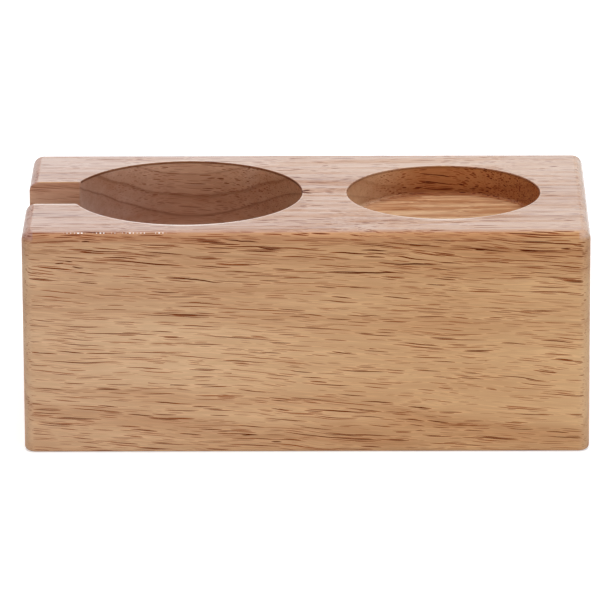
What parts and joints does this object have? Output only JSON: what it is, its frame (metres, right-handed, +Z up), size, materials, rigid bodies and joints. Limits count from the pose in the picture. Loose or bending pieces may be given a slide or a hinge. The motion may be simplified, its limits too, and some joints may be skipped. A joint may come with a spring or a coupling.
{
  "type": "espresso tamping station",
  "caption": "Solid wood block with a deep round recess and handle slot that hold a portafilter, beside a shallow round seat for a tamper.",
  "frame": {"origin": "centre of the base, on the surface that the block stands on", "axes": "+X along the length, from the slotted end towards the tamper seat; -Y out of the front face; +Z up"},
  "size_m": [0.17, 0.087, 0.069],
  "materials": {
    "wood": "satin lacquer"
  },
  "bodies": {
    "root": {"station_block": "wood"}
  },
  "joints": []
}
